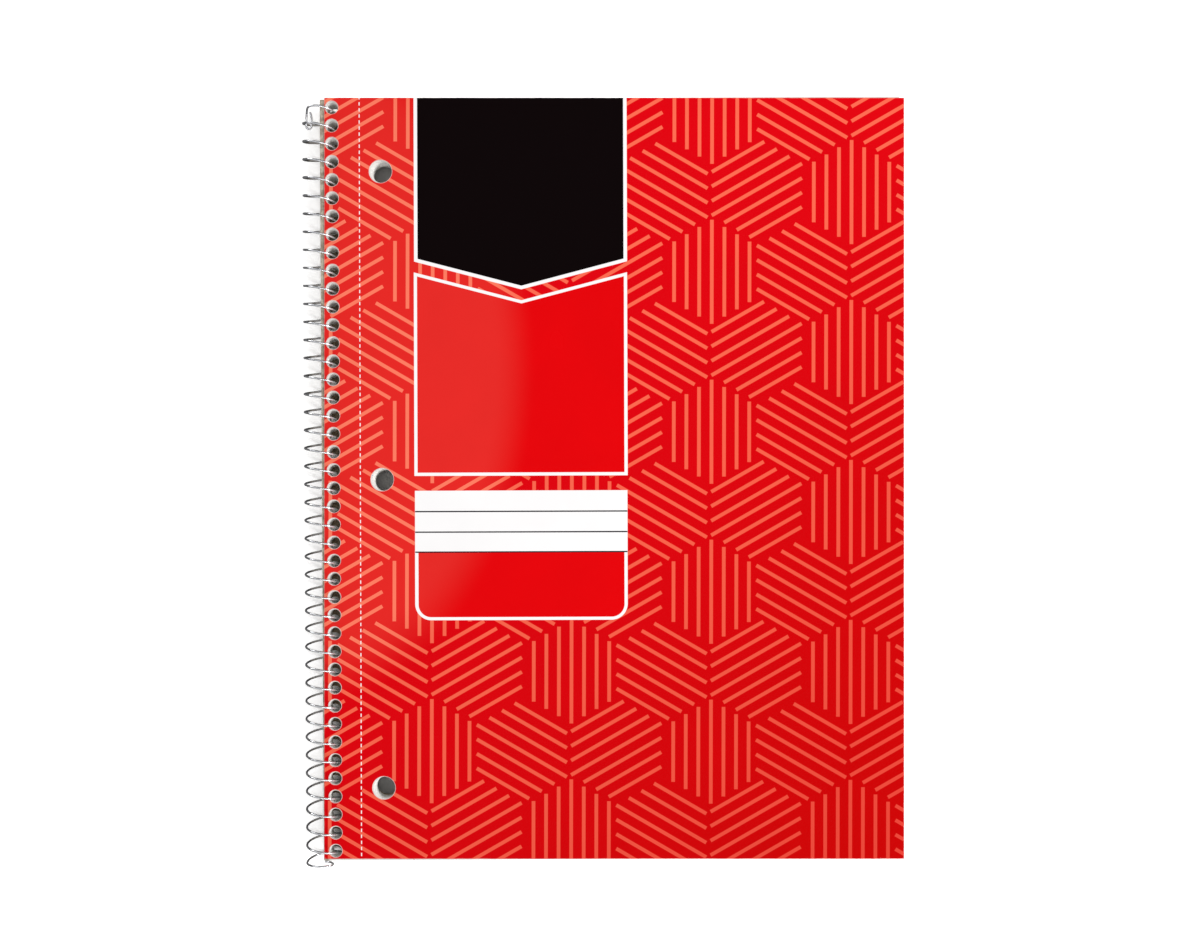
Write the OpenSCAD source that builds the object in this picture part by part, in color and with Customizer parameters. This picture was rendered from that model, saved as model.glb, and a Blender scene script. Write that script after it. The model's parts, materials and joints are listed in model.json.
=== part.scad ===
// Spiral notebook: two card covers and a block of ruled sheets on a left-handed wire coil.
// X runs from the spine to the fore edge, Y up the page and Z up from the table.
// The origin is at the middle of the underside of the whole notebook.

/* [Sheets] */
// Height of the covers and sheets, along the spine
sheet_h = 266.7; // [245:0.1:290]
// Width of the covers and sheets, from the spine edge to the fore edge
sheet_w = 203.2; // [150:0.1:230]
// Thickness of the whole block of sheets
pages_t = 6.9; // [4:0.1:10]
// Gap between the block and each closed cover
sheet_gap = 0.05; // [0.02:0.01:0.2]

/* [Covers] */
// Thickness of the front cover's card
front_t = 0.35; // [0.2:0.05:0.8]
// Thickness of the back cover's board
back_t = 0.55; // [0.3:0.05:1]
// Angle between the front cover's outline and its punched columns, in degrees
front_skew = 0.33; // [0:0.01:0.6]

/* [Coil holes] */
// Distance from one coil hole to the next
hole_pitch = 6.35; // [6.2:0.05:8]
// Radius of a coil hole
hole_r = 2.25; // [2.2:0.01:2.4]
// Least distance from the end hole's centre to the end of a sheet
end_margin = 2.8; // [2.5:0.05:4]
// Distance from the front cover's coil holes to its spine edge
front_margin = 3.35; // [3.2:0.05:3.6]
// Distance from the block's coil holes to its spine edge
pages_margin = 4.3; // [3.2:0.05:4.5]
// Distance from the back cover's coil holes to its spine edge
back_margin = 3.35; // [3.1:0.05:4.2]

/* [Ring holes] */
// Radius of the three ring binder holes
ring_r = 3.97; // [3:0.01:4.5]
// Distance from one ring binder hole to the next
ring_spacing = 107.95; // [100:0.05:112]
// Distance from the front cover's coil holes to the ring binder holes
ring_inset = 17; // [14:0.1:22]

/* [Wire coil] */
// Diameter of the wire
wire_d = 0.74; // [0.6:0.01:0.8]
// How far the coil's centreline stands beyond half the stack's thickness
coil_room = 1.85; // [1.75:0.01:2]
// How far the middle of the stack hangs below the coil's axis
stack_sag = 0.45; // [0.3:0.01:0.5]
// How far the bent end lies inside the turns
hook_inset = 0.9; // [0.85:0.01:1.2]
// Width of the bent end's hairpin, between its two strokes
hook_w = 1.8; // [1.5:0.05:2.2]
// How far the last turn lies below the page's last hole
end_drop = 3.35; // [3.2:0.05:4]

/* [Seating on the wire] */
// How far the front cover's hole centres lie inside the coil's widest line
front_seat = 0.9; // [0.85:0.01:1.1]
// How far the block's hole centres lie inside the coil's widest line
pages_seat = 1.05; // [0.9:0.01:1.2]
// How far the back cover's hole centres lie inside the coil's widest line
back_seat = 2.5; // [2.4:0.01:2.55]
// How far the front cover has ridden up the page along the wire
front_ride = 1.5; // [1.4:0.01:1.6]
// How far the block has ridden up the page along the wire
pages_ride = 0.4; // [0:0.01:0.6]
// How far the back cover has ridden down the page along the wire
back_ride = 1.3; // [1.25:0.01:1.4]
// How far the front cover's rows are punched above the middle of its outline
front_rows_up = 0.3; // [0:0.01:0.35]
// How far the block's rows are punched below the middle of its outline
pages_rows_down = 0.3; // [0:0.01:0.35]
// How far the back cover's rows are punched below the middle of its outline
back_rows_down = 0.35; // [0:0.01:0.35]

/* [Hidden] */

// Corners of the wire's cross-section, and rings of them in one turn
wire_sides = 6;
turn_rings = 20;
// Rings between two points of a bent end
hook_rings = 4;
// Overrun of a cutting tool past a face
cut = 0.5;
hole_facets = 48;

wire_r = wire_d / 2;
hole_count = 1 + floor((sheet_h - 2 * end_margin) / hole_pitch);
row_half = (hole_count - 1) / 2 * hole_pitch;

// Heights: the coil rests on the table and the stack hangs on it
stack_t = front_t + pages_t + back_t + 2 * sheet_gap;
coil_r = stack_t / 2 + coil_room;
axis_z = coil_r + wire_r;
back_z = axis_z - stack_sag - stack_t / 2;
pages_z = back_z + back_t + sheet_gap;
front_z = pages_z + pages_t + sheet_gap;

// Columns of holes and middles of outlines, measured from the coil's axis
front_column = coil_r - front_seat;
pages_column = coil_r - pages_seat;
back_column = coil_r - back_seat;
ring_column = front_column + ring_inset;
front_mid = [front_column - front_margin + sheet_w / 2, front_ride - front_rows_up];
pages_mid = [pages_column - pages_margin + sheet_w / 2, pages_ride + pages_rows_down];
back_mid = [back_column - back_margin + sheet_w / 2, back_rows_down - back_ride];

// Half extents of the front cover's turned outline
front_half_x = sheet_w / 2 * cos(front_skew) + sheet_h / 2 * sin(front_skew);
front_half_y = sheet_h / 2 * cos(front_skew) + sheet_w / 2 * sin(front_skew);

// Extents of the whole notebook about the coil's axis, which place the origin
low_x = -coil_r - wire_r;
high_x = max(front_mid.x + front_half_x, pages_mid.x + sheet_w / 2, back_mid.x + sheet_w / 2);
low_y = min(back_mid.y - sheet_h / 2, -row_half - end_drop - wire_r);
high_y = max(front_mid.y + front_half_y, pages_mid.y + sheet_h / 2);
coil_axis = [-(low_x + high_x) / 2, -(low_y + high_y) / 2, axis_z];

// Angles along the wire, counted from the end hole's right-hand side at the foot of the page
low_end = -305;
high_end = 360 * (hole_count - 1) + 80;

// A point of the coil's centreline, whose last turn at the foot is flat
function coil_point(a) = [
    coil_r * cos(a),
    max(hole_pitch * a / 360, -end_drop) - row_half,
    coil_r * sin(a)
];

// Bend points of the end at the head of the page: it leaves the circle over the top, drops inside the
// turns and doubles back as a hairpin that catches the next turn
hook_x = -coil_r + hook_inset;
hook_points = [
    coil_point(high_end - 360 / turn_rings),
    coil_point(high_end),
    [-coil_r * 0.17, row_half + hole_pitch * 0.23, coil_r * 0.985],
    [-coil_r * 0.4, row_half + hole_pitch * 0.22, coil_r * 0.905],
    [-coil_r * 0.55, row_half + hole_pitch * 0.19, coil_r * 0.76],
    [-coil_r * 0.67, row_half + hole_pitch * 0.14, coil_r * 0.465],
    [-coil_r * 0.765, row_half + hole_pitch * 0.05, coil_r * 0.155],
    [hook_x + hook_w * 0.05, row_half - hole_pitch * 0.13, -coil_r * 0.04],
    [hook_x, row_half - hole_pitch * 0.36, -wire_r],
    [hook_x, row_half - hole_pitch * 0.61, -wire_r],
    [hook_x + hook_w * 0.15, row_half - hole_pitch * 0.71, -wire_r],
    [hook_x + hook_w * 0.5, row_half - hole_pitch * 0.76, -wire_r],
    [hook_x + hook_w * 0.85, row_half - hole_pitch * 0.71, -wire_r],
    [hook_x + hook_w, row_half - hole_pitch * 0.61, -wire_r],
    [hook_x + hook_w, row_half - hole_pitch * 0.36, -wire_r],
    [hook_x + hook_w, row_half - hole_pitch * 0.1, -wire_r],
    [hook_x + hook_w * 0.78, row_half + hole_pitch * 0.17, -wire_r]
];

// Bend points of the end at the foot of the page: it curls into the coil beside the stack's end
foot_y = -row_half - end_drop;
curl_points = [
    [coil_r * 0.05, foot_y, 0],
    [coil_r * 0.32, foot_y, coil_r * 0.05],
    [coil_r * 0.55, foot_y, coil_r * 0.25],
    [coil_r * 0.66, foot_y, coil_r * 0.52],
    coil_point(low_end),
    coil_point(low_end + 360 / turn_rings)
];

// A point between b and c on the smooth curve through a, b, c and d
function smooth_point(a, b, c, d, t) =
    ((2 * b) + (c - a) * t + (2 * a - 5 * b + 4 * c - d) * t * t
        + (3 * b - a - 3 * c + d) * t * t * t) / 2;

// Points of a smooth curve from the second listed point to the last but one
function smooth_run(p) = [
    for (i = [1:len(p) - 3])
        for (k = [0:hook_rings - 1])
            smooth_point(p[i - 1], p[i], p[i + 1], p[i + 2], k / hook_rings)
];

// The list p with its last point carried on by one more step
function extended(p) = concat(p, [2 * p[len(p) - 1] - p[len(p) - 2]]);
function led_in(p) = concat([2 * p[0] - p[1]], p);

coil_angles = [for (a = [low_end + 360 / turn_rings:360 / turn_rings:high_end - 180 / turn_rings]) a];
wire_path = concat(
    smooth_run(led_in(curl_points)),
    [for (a = concat([low_end], coil_angles)) coil_point(a)],
    smooth_run(extended(hook_points)),
    [hook_points[len(hook_points) - 1]]
);

function unit(v) = v / norm(v);
function tangent(p, i) = unit(p[min(i + 1, len(p) - 1)] - p[max(i - 1, 0)]);
function squared_to(n, t) = unit(n - (n * t) * t);

// A tube of radius r along the path p, with rings that carry their direction on from one to the next
module tube(p, r, sides) {
    last = len(p) - 1;
    sideways = [
        for (i = 0, n = squared_to([0, 1, 0], tangent(p, 0)); i <= last;
            i = i + 1, n = squared_to(n, tangent(p, min(i, last)))) n
    ];
    rings = [
        for (i = [0:last], k = [0:sides - 1])
            let (n = sideways[i], b = cross(tangent(p, i), n), a = 360 * k / sides)
                p[i] + r * (cos(a) * n + sin(a) * b)
    ];
    walls = [
        for (i = [0:last - 1], k = [0:sides - 1])
            let (a = i * sides + k, b = i * sides + (k + 1) % sides)
                each [[a, a + sides, b], [b, a + sides, b + sides]]
    ];
    ends = [
        [for (k = [0:sides - 1]) k],
        [for (k = [sides - 1:-1:0]) last * sides + k]
    ];
    polyhedron(rings, concat(walls, ends), convexity = 10);
}

// Cutters for the column of coil holes and the three ring binder holes
module punches(column, ride, t) {
    for (i = [0:hole_count - 1])
        translate([column, ride - row_half + i * hole_pitch, -cut])
            cylinder(r = hole_r, h = t + 2 * cut, $fn = hole_facets);
    for (k = [-1:1])
        translate([ring_column, front_mid.y + k * ring_spacing, -cut])
            cylinder(r = ring_r, h = t + 2 * cut, $fn = hole_facets);
}

// A flat sheet about the middle of its outline, with its holes punched square to the coil
module punched_sheet(mid, skew, t, column, ride) {
    difference() {
        translate([mid.x, mid.y, 0])
            rotate(-skew)
                translate([-sheet_w / 2, -sheet_h / 2, 0])
                    cube([sheet_w, sheet_h, t]);
        punches(column, ride, t);
    }
}

module front_cover() {
    color("crimson")
        translate([coil_axis.x, coil_axis.y, front_z])
            punched_sheet(front_mid, front_skew, front_t, front_column, front_ride);
}

module page_block() {
    color("ivory")
        translate([coil_axis.x, coil_axis.y, pages_z])
            punched_sheet(pages_mid, 0, pages_t, pages_column, pages_ride);
}

module back_cover() {
    color("tan")
        translate([coil_axis.x, coil_axis.y, back_z])
            punched_sheet(back_mid, 0, back_t, back_column, -back_ride);
}

module wire_coil() {
    color("silver")
        translate(coil_axis)
            tube(wire_path, wire_r, wire_sides);
}

front_cover();
page_block();
back_cover();
wire_coil();
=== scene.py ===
# %% [markdown]
# # A spiral notebook
# The notebook is four things: a printed card cover, a block of ruled sheets, a plain board at the back, and
# one length of wire wound through 42 punched holes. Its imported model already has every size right. This
# script gives each piece its finish and its fine form, and lights and frames it from straight above.

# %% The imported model
import json
import math

import bpy
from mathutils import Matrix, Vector


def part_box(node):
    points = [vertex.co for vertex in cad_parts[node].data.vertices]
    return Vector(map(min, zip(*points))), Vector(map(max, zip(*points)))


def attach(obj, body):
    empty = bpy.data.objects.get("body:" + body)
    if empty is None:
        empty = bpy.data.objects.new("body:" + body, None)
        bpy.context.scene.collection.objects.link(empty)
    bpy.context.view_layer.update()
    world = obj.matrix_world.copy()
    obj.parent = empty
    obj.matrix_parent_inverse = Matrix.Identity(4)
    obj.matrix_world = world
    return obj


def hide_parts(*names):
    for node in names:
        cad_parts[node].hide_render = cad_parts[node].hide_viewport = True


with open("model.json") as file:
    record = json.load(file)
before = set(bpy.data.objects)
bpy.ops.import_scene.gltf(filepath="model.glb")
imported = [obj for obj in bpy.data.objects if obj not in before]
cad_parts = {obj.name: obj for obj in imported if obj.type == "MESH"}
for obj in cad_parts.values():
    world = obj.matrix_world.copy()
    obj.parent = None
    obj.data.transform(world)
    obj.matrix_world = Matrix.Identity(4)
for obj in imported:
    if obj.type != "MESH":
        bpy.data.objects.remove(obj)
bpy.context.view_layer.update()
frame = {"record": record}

# %% [markdown]
# ## Sizes
# Everything is in metres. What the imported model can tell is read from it: the boxes of the four pieces, and
# the two pairs of holes by which a ring binder holds the notebook. The rest are sizes of the real thing that
# a box can't tell, such as the distance from one coil hole to the next.

# %% Sizes of the sheets and of their holes
MM = 0.001
SHEET = (203.2 * MM, 266.7 * MM)
COVER_TURN = math.radians(-0.33)
HOLE_COUNT = 42
HOLE_PITCH = 6.35 * MM
HOLE_RADIUS = 2.25 * MM
ROW_HALF = (HOLE_COUNT - 1) / 2 * HOLE_PITCH

mounts = {mount["name"]: mount for mount in frame["record"]["mounts"]}
upper_pair, lower_pair = mounts["ring_binder_upper_pair"], mounts["ring_binder_lower_pair"]
RING_CENTRE = (Vector(upper_pair["pos_m"]) + Vector(lower_pair["pos_m"])) / 2
RING_RADIUS = upper_pair["dims"]["hole_r_mm"] * MM
RING_SPACING = upper_pair["dims"]["spacing_y_mm"] * MM
RING_COUNT = 3

wire_low, wire_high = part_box("wire_coil")
WIRE_RADIUS = 0.37 * MM
COIL_RADIUS = (wire_high.z - wire_low.z) / 2 - WIRE_RADIUS
END_DROP = 3.35 * MM
COIL_AXIS = Vector((
    wire_low.x + WIRE_RADIUS + COIL_RADIUS,
    wire_low.y + WIRE_RADIUS + END_DROP + ROW_HALF,
    (wire_low.z + wire_high.z) / 2,
))


def middle(node):
    """Middle of a piece's box, on its underside."""
    low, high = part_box(node)
    return Vector(((low.x + high.x) / 2, (low.y + high.y) / 2, low.z))


def thickness(node):
    low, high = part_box(node)
    return high.z - low.z


# Where each column of coil holes lies from the coil's axis, and how far its rows have ridden up the wire
FRONT_HOLES = Vector((4.9 * MM, 1.5 * MM, 0))
PAGE_HOLES = Vector((4.75 * MM, 1.35 * MM, 0))
BACK_HOLES = Vector((3.3 * MM, -1.3 * MM, 0))
print("coil axis", COIL_AXIS, "radius", COIL_RADIUS)

# %% [markdown]
# ## Camera
# The photograph looks straight down from about 420 mm. The punched rows stand a third of a degree away from
# the cover's own outline, and the picture is squared to the outline, so the camera is turned by that angle.
# A small lens shift moves the point straight below the lens, which the view into the holes gives away.

# %% The camera, squared to the front cover
PICTURE = (1200, 927)
PIXELS_PER_MM = 2.8555
COVER_PIXEL = (614.2, 478.3)
BELOW_LENS_PIXEL = (604.0, 497.0)
CAMERA_ABOVE_COVER = 420 * MM
SENSOR_WIDTH = 36


def placed(name, data):
    """A new object in the scene."""
    made = bpy.data.objects.new(name, data)
    bpy.context.scene.collection.objects.link(made)
    return made


cover_middle = middle("front_cover")
cover_top = cover_middle.z + thickness("front_cover")
right = Vector((math.cos(COVER_TURN), math.sin(COVER_TURN), 0))
up = Vector((-math.sin(COVER_TURN), math.cos(COVER_TURN), 0))
lens_right = (BELOW_LENS_PIXEL[0] - COVER_PIXEL[0]) / PIXELS_PER_MM * MM
lens_up = (COVER_PIXEL[1] - BELOW_LENS_PIXEL[1]) / PIXELS_PER_MM * MM

camera = placed("camera", bpy.data.cameras.new("camera"))
bpy.context.scene.camera = camera
camera.data.sensor_width = SENSOR_WIDTH
camera.data.lens = SENSOR_WIDTH * CAMERA_ABOVE_COVER / (PICTURE[0] / PIXELS_PER_MM * MM)
camera.data.shift_x = (PICTURE[0] / 2 - BELOW_LENS_PIXEL[0]) / PICTURE[0]
camera.data.shift_y = (BELOW_LENS_PIXEL[1] - PICTURE[1] / 2) / PICTURE[0]
camera.location = cover_middle + right * lens_right + up * lens_up
camera.location.z = cover_top + CAMERA_ABOVE_COVER
camera.rotation_euler = (0, 0, COVER_TURN)
print("lens", camera.data.lens, "shift", camera.data.shift_x, camera.data.shift_y)

# %% [markdown]
# ## Small helpers for node trees
# A material or a Geometry Nodes tree is a list of nodes and links. These helpers add a node, set what it
# holds and link what feeds it, in one line. What a node gives out can then be added or multiplied like a
# plain number: each such step adds one Math node. So every tree below reads as the sum that it works out.

# %% Node helpers
class Output:
    """What a node gives out. Each step of arithmetic on it adds one Math node."""

    def __init__(self, socket):
        self.socket = socket
        self.tree = socket.id_data

    def __add__(self, other):
        return sums("ADD", self, other)

    def __sub__(self, other):
        return sums("SUBTRACT", self, other)

    def __rsub__(self, other):
        return sums("SUBTRACT", other, self)

    def __mul__(self, other):
        return sums("MULTIPLY", self, other)

    def __truediv__(self, other):
        return sums("DIVIDE", self, other)

    def __rtruediv__(self, other):
        return sums("DIVIDE", other, self)

    def __pow__(self, other):
        return sums("POWER", self, other)

    def __neg__(self):
        return sums("MULTIPLY", self, -1.0)

    def __abs__(self):
        return sums("ABSOLUTE", self)


def feed(socket, value):
    """Links an output to the socket, or sets the socket to a plain value."""
    if isinstance(value, Output):
        value.tree.links.new(value.socket, socket)
    else:
        socket.default_value = value


def node(tree, kind, inputs=(), out=0, family="ShaderNode", **settings):
    """Adds a node with its settings and its inputs, (name or number, value) pairs, and gives one output."""
    made = tree.nodes.new(family + kind)
    for name, value in settings.items():
        setattr(made, name, value)
    for key, value in inputs:
        feed(made.inputs[key], value)
    return Output(made.outputs[out])


def shape(tree, kind, inputs=(), out=0, **settings):
    """Adds one of the nodes that work on geometry."""
    return node(tree, kind, inputs, out, "GeometryNode", **settings)


def tree_of(values):
    """The tree that the outputs among the values belong to."""
    return next(value.tree for value in values if isinstance(value, Output))


def sums(operation, *values, clamp=False):
    """One Math node."""
    return node(tree_of(values), "Math", enumerate(values), operation=operation, use_clamp=clamp)


def span(value, low, high):
    """A value from 0 to 1, laid over the range low..high."""
    return sums("MULTIPLY_ADD", value, high - low, low)


def ramp(value, low, high, to_low=0.0, to_high=1.0):
    """A value taken from the range low..high to to_low..to_high, with soft ends."""
    inputs = enumerate((value, low, high, to_low, to_high))
    return node(value.tree, "MapRange", inputs, interpolation_type="SMOOTHSTEP")


def vectors(operation, *values):
    """One Vector Math node. A length and a dot product come out as numbers."""
    out = 1 if operation in ("LENGTH", "DOT_PRODUCT") else 0
    return node(tree_of(values), "VectorMath", enumerate(values), out, operation=operation)


def scaled(vector, scale):
    return node(vector.tree, "VectorMath", [(0, vector), ("Scale", scale)], operation="SCALE")


def parts_of(vector):
    """The X, Y and Z of a vector."""
    made = node(vector.tree, "SeparateXYZ", [(0, vector)]).socket.node
    return [Output(socket) for socket in made.outputs]


def as_vector(x=0.0, y=0.0, z=0.0):
    return node(tree_of((x, y, z)), "CombineXYZ", enumerate((x, y, z)))


def mixed(factor, under, over):
    """The colour over, laid on the colour under as far as factor says."""
    inputs = [(0, factor), (6, under), (7, over)]
    return node(factor.tree, "Mix", inputs, 2, data_type="RGBA")


def noise(vector, scale, detail=3.0, rough=0.5):
    inputs = [("Vector", vector), ("Scale", scale), ("Detail", detail), ("Roughness", rough)]
    return node(vector.tree, "TexNoise", inputs)


def floats(*labels):
    return [(label, "Float", 0.0) for label in labels]


def group_tree(name, kind, inputs, outputs):
    """A node group. Its inputs are (name, type, value) and its outputs (name, type)."""
    tree = bpy.data.node_groups.new(name, kind)
    for label, socket_kind, value in inputs:
        socket = tree.interface.new_socket(label, in_out="INPUT", socket_type="NodeSocket" + socket_kind)
        if value is not None:
            socket.default_value = value
    for label, socket_kind in outputs:
        tree.interface.new_socket(label, in_out="OUTPUT", socket_type="NodeSocket" + socket_kind)
    entry = tree.nodes.new("NodeGroupInput")

    def source(label):
        return Output(entry.outputs[label])

    return tree, source, tree.nodes.new("NodeGroupOutput").inputs


def use_group(tree, group, inputs):
    """Runs a node group with its named inputs, and gives its output, or a list of them."""
    made = tree.nodes.new("ShaderNodeGroup")
    made.node_tree = group
    for key, value in inputs.items():
        feed(made.inputs[key], value)
    outputs = [Output(socket) for socket in made.outputs]
    return outputs if len(outputs) > 1 else outputs[0]


def colour(red, green, blue):
    """A colour as seen on a screen, from 0 to 255, turned into the linear values that the nodes use."""
    def linear(value):
        value = value / 255
        return value / 12.92 if value <= 0.04045 else ((value + 0.055) / 1.055) ** 2.4
    return (linear(red), linear(green), linear(blue), 1)


def new_material(name):
    """An empty material: its tree, its Principled BSDF and the object's own coordinates."""
    material = bpy.data.materials.new(name)
    material.use_nodes = True
    tree = material.node_tree
    tree.nodes.clear()
    shader = tree.nodes.new("ShaderNodeBsdfPrincipled")
    output = tree.nodes.new("ShaderNodeOutputMaterial")
    tree.links.new(shader.outputs[0], output.inputs[0])
    return material, tree, shader, node(tree, "TexCoord", out="Object")


def dress(shader, base, roughness, level, relief, depth, strength):
    """Feeds the shader its colour, roughness and specular level, and a relief that is depth metres high."""
    feed(shader.inputs["Base Color"], base)
    feed(shader.inputs["Roughness"], roughness)
    shader.inputs["Specular IOR Level"].default_value = level
    inputs = [("Height", relief), ("Distance", depth), ("Strength", strength)]
    feed(shader.inputs["Normal"], node(base.tree, "Bump", inputs))


def in_mm_from(place, origin=(0, 0, 0), turn=0.0):
    """The place in millimetres from an origin, turned with the piece: a Mapping node does all three."""
    inputs = [("Vector", place), ("Location", origin), ("Rotation", (0, 0, turn)), ("Scale", (MM, MM, MM))]
    return node(place.tree, "Mapping", inputs, vector_type="TEXTURE")


# %% [markdown]
# ## The printed hatch
# The cover's print is a common geometric pattern: bundles of seven parallel stripes in three directions,
# which fit together as a basket weave of rhombs. An image could hold it, but a formula is sharper at every
# distance. One bundle repeats on a rectangular cell, and a second set sits at the cell's corners. So the
# group wraps the place into one cell, turns it along the bundle, and asks which stripe it is nearest.

# %% Node group: bundles of stripes
PRINT_EDGE = 0.07


def bundle_group():
    inputs = [
        ("Place", "Vector", None), ("Centre", "Vector", (0, 0, 0)), ("Cell", "Vector", (98.8, 56.0, 0)),
        ("Turn", "Float", 0.0), ("Spacing", "Float", 4.4), ("Stripe Width", "Float", 1.25),
        ("Half Length", "Float", 18.2), ("Shorter By", "Float", 2.54), ("Outer Stripe", "Float", 3.0),
    ]
    tree, source, sink = group_tree("stripe bundles", "ShaderNodeTree", inputs, [("Mask", "Float")])
    offset = vectors("SUBTRACT", source("Place"), source("Centre"))
    in_cell = vectors("WRAP", offset, scaled(source("Cell"), 0.5), scaled(source("Cell"), -0.5))
    inputs = [("Vector", in_cell), ("Angle", -source("Turn"))]
    across, along, _ = parts_of(node(tree, "VectorRotate", inputs, rotation_type="Z_AXIS"))
    nearest = sums("ROUND", across / source("Spacing"))
    stripe = sums("MAXIMUM", sums("MINIMUM", nearest, source("Outer Stripe")), -source("Outer Stripe"))
    in_width = source("Stripe Width") * 0.5 - abs(across - stripe * source("Spacing"))
    in_length = source("Half Length") - abs(stripe) * source("Shorter By") - abs(along)
    feed(sink["Mask"], ramp(sums("MINIMUM", in_width, in_length), -PRINT_EDGE, PRINT_EDGE))
    return tree


STRIPE_BUNDLES = bundle_group()

# %% [markdown]
# ## The label
# The label is a column of flat fields: a black pennant, a red panel whose top follows the pennant's point, a
# white box with three writing lines, and a red panel with two rounded corners. Each is a box whose top or
# bottom edge may fold to a point. The group measures how far a place lies inside such a box, so the same
# group draws the white frame and the fill inside it.

# %% Node group: a box with folded edges and round lower corners
def panel_group():
    inputs = [
        ("Place", "Vector", None),
        *floats("Left", "Right", "Bottom", "Top", "Fold", "Bottom Slope", "Top Slope", "Corner"),
    ]
    tree, source, sink = group_tree("label panel", "ShaderNodeTree", inputs, [("Mask", "Float")])
    x, y, _ = parts_of(source("Place"))
    from_fold = abs(x - source("Fold"))
    sides = sums("MINIMUM", x - source("Left"), source("Right") - x)
    above = y - (source("Bottom") + from_fold * source("Bottom Slope"))
    below = source("Top") + from_fold * source("Top Slope") - y
    corner_x = sums("MAXIMUM", source("Corner") - sides, 0.0)
    corner_y = sums("MAXIMUM", source("Corner") - above, 0.0)
    corner = vectors("LENGTH", as_vector(corner_x, corner_y))
    inside = sums("MINIMUM", below, source("Corner") - corner)
    feed(sink["Mask"], ramp(inside, -PRINT_EDGE, PRINT_EDGE))
    return tree


LABEL_PANEL = panel_group()

# %% [markdown]
# ## Rims, edges and fibres
# A punch tears the surface of card and board round its hole, and leaves a thin pale rim. Their corners and
# edges rub pale with handling. And card, board and paper are all felted fibre, which shows as a faint
# unevenness of tone and surface. Each effect is a group with its own values for each material.

# %% Node groups: punched rims, rubbed edges and fibre
def rim_group():
    inputs = [
        ("Place", "Vector", None), ("Column", "Vector", (0, 0, 0)), ("Pitch", "Float", 6.35),
        ("Radius", "Float", 2.25), ("Width", "Float", 0.2),
    ]
    tree, source, sink = group_tree("punched rims", "ShaderNodeTree", inputs, [("Mask", "Float")])
    x, y, _ = parts_of(vectors("SUBTRACT", source("Place"), source("Column")))
    half = source("Pitch") * 0.5
    in_row = sums("WRAP", y, half, -half)
    from_rim = vectors("LENGTH", as_vector(x, in_row)) - source("Radius")
    reach = noise(source("Place"), 2.2) * source("Width") + source("Width") * 0.4
    feed(sink["Mask"], 1.0 - ramp(from_rim - reach, -0.06, 0.06))
    return tree


def rubbed_group():
    inputs = [
        ("Place", "Vector", None), ("Half Width", "Float", 101.6), ("Half Height", "Float", 133.35),
        ("Reach", "Float", 0.8), ("Amount", "Float", 0.5),
    ]
    tree, source, sink = group_tree("rubbed edges", "ShaderNodeTree", inputs, [("Mask", "Float")])
    x, y, _ = parts_of(source("Place"))
    in_x = source("Half Width") - abs(x)
    in_y = source("Half Height") - abs(y)
    patches = noise(source("Place"), 0.35, detail=4.0)
    fine = noise(source("Place"), 3.0, detail=2.0)
    reach = source("Reach") * (patches * (fine + 0.5))
    at_edge = ramp(reach - sums("MINIMUM", in_x, in_y), -0.1, 0.25)
    at_corner = ramp(source("Reach") * 1.6 - (in_x + in_y), -0.6, 0.8)
    worn = sums("MAXIMUM", at_edge, at_corner)
    feed(sink["Mask"], sums("MULTIPLY", worn, source("Amount"), clamp=True))
    return tree


def fibre_group():
    inputs = [
        ("Place", "Vector", None), ("Fibre Size", "Float", 0.5), ("Cloud Size", "Float", 12.0),
        ("Stretch", "Float", 1.0),
    ]
    outputs = [("Fibres", "Float"), ("Clouds", "Float")]
    tree, source, sink = group_tree("fibre", "ShaderNodeTree", inputs, outputs)
    squeezed = vectors("MULTIPLY", source("Place"), as_vector(source("Stretch"), 1.0, 1.0))
    feed(sink["Fibres"], noise(squeezed, 1.0 / source("Fibre Size"), detail=5.0, rough=0.65))
    feed(sink["Clouds"], noise(source("Place"), 1.0 / source("Cloud Size")))
    return tree


PUNCHED_RIMS = rim_group()
RUBBED_EDGES = rubbed_group()
FIBRE = fibre_group()


def both_rims(place, holes, width):
    """The pale rims of the coil holes and of the ring binder holes, in the row's own millimetres."""
    first_hole = (COIL_AXIS + holes) / MM
    first_hole.y -= ROW_HALF / MM
    masks = []
    for column, pitch, radius in (
        (first_hole, HOLE_PITCH, HOLE_RADIUS),
        (RING_CENTRE / MM, RING_SPACING, RING_RADIUS),
    ):
        values = {
            "Place": place, "Column": column, "Pitch": pitch / MM, "Radius": radius / MM, "Width": width,
        }
        masks.append(use_group(place.tree, PUNCHED_RIMS, values))
    return sums("MAXIMUM", *masks)


# %% [markdown]
# ## Printed card
# The front cover is thin card, printed red and given a soft varnish. The material first draws the ground
# and the stripes, with painted shade that darkens them towards the foot and a painted sheen that lightens
# them near the left edge, then lays the label's fields over them, then the line of white dashes along which
# the sheets tear off, then the pale rims and rubbed edges. The cut edges show the card's own pale core, and
# the inside is bare card. Height inside the card tells the printed face from both.

# %% Colours and sizes of the print, in millimetres from the middle of the cover
# Ground and stripes each have a head colour, a foot colour darkened as painted shade, and a lighter colour for
# a painted sheen near the left edge
GROUND_HEAD = colour(226, 2, 15)
GROUND_FOOT = colour(197, 1, 1)
GROUND_SHEEN = colour(232, 41, 37)
STRIPE_HEAD = colour(253, 109, 82)
STRIPE_FOOT = colour(225, 66, 53)
STRIPE_SHEEN = colour(255, 126, 99)
LABEL_WHITE = colour(255, 253, 253)
LABEL_BLACK = colour(8, 1, 2)
LABEL_RED = colour(230, 2, 8)
# A painted sheen on the red label fields near the left edge
LABEL_RED_SHEEN = colour(233, 43, 39)
WRITING_LINE = colour(35, 32, 38)
CARD_CORE = colour(238, 226, 222)
CARD_FIBRE = colour(205, 192, 186)
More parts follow.
